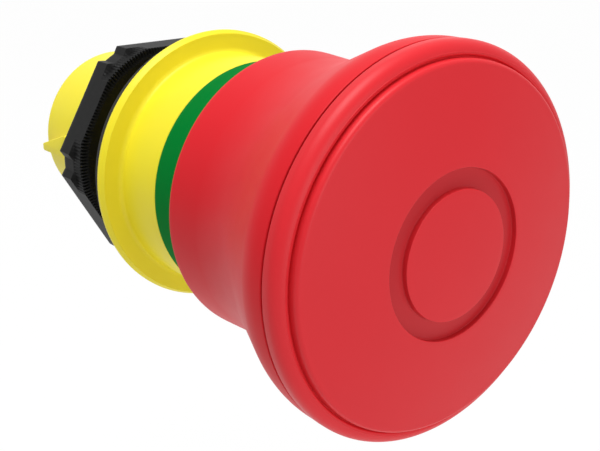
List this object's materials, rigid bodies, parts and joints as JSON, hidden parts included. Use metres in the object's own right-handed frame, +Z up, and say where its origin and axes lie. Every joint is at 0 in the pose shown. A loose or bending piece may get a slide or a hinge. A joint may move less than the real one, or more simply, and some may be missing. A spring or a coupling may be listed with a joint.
{
  "type": "emergency stop button",
  "caption": "Panel-mount push-pull emergency stop operator: red mushroom head on a yellow threaded bezel body with a green indicator band, gasket and fixing nut.",
  "frame": {"origin": "centre of the gasket's rear face, which lies on the panel's front, on the operator's axis", "axes": "-Y along the operator's axis towards the head, +Y through the panel towards the barrel's tail, +Z up"},
  "size_m": [0.04, 0.0647, 0.04],
  "materials": {
    "yellow_moulding": "moulded satin nylon",
    "green_band": "smooth coloured band",
    "seal_rubber": "moulded rubber",
    "nut_plastic": "moulded glass-filled nylon",
    "red_shell": "moulded satin plastic",
    "red_cap": "moulded satin plastic",
    "zinc_steel": "zinc-plated",
    "stem_plastic": "moulded acetal",
    "bush_plastic": "moulded acetal",
    "spring_steel": "drawn wire"
  },
  "bodies": {
    "bezel": {"bezel_body": "yellow_moulding", "indicator_band": "green_band", "panel_gasket": "seal_rubber", "front_bush": "bush_plastic", "bush_o_ring": "seal_rubber", "lip_seal": "seal_rubber", "retaining_ring": "spring_steel", "latch_cage": "bush_plastic", "latch_spring_left": "spring_steel", "latch_spring_right": "spring_steel", "return_spring": "spring_steel", "rear_bush": "bush_plastic"},
    "head": {"head_shell": "red_shell", "head_cap": "red_cap", "head_screw": "zinc_steel", "lock_washer": "zinc_steel", "stem": "stem_plastic", "rear_pusher": "stem_plastic", "pusher_screw": "zinc_steel"},
    "pin_left": {"latch_pin_left": "zinc_steel"},
    "pin_right": {"latch_pin_right": "zinc_steel"},
    "nut": {"fixing_nut": "nut_plastic"}
  },
  "joints": [
    {"name": "head_push", "type": "slide", "parent": "bezel", "child": "head", "axis": [0, 1, 0], "range_m": [0, 0.006], "deforming": ["return_spring"]},
    {"name": "pin_left_slide", "type": "slide", "parent": "bezel", "child": "pin_left", "axis": [1, 0, 0], "range_m": [0, 0.001], "deforming": ["latch_spring_left"]},
    {"name": "pin_right_slide", "type": "slide", "parent": "bezel", "child": "pin_right", "axis": [-1, 0, 0], "range_m": [0, 0.001], "deforming": ["latch_spring_right"]},
    {"name": "nut_turn", "type": "hinge", "parent": "bezel", "child": "nut", "pos_m": [0, 0.008, 0], "axis": [0, 1, 0], "continuous": true}
  ],
  "couplings": [
    {"joint": "pin_left_slide", "follows": "head_push", "ratio": 0.16667},
    {"joint": "pin_right_slide", "follows": "head_push", "ratio": 0.16667}
  ]
}
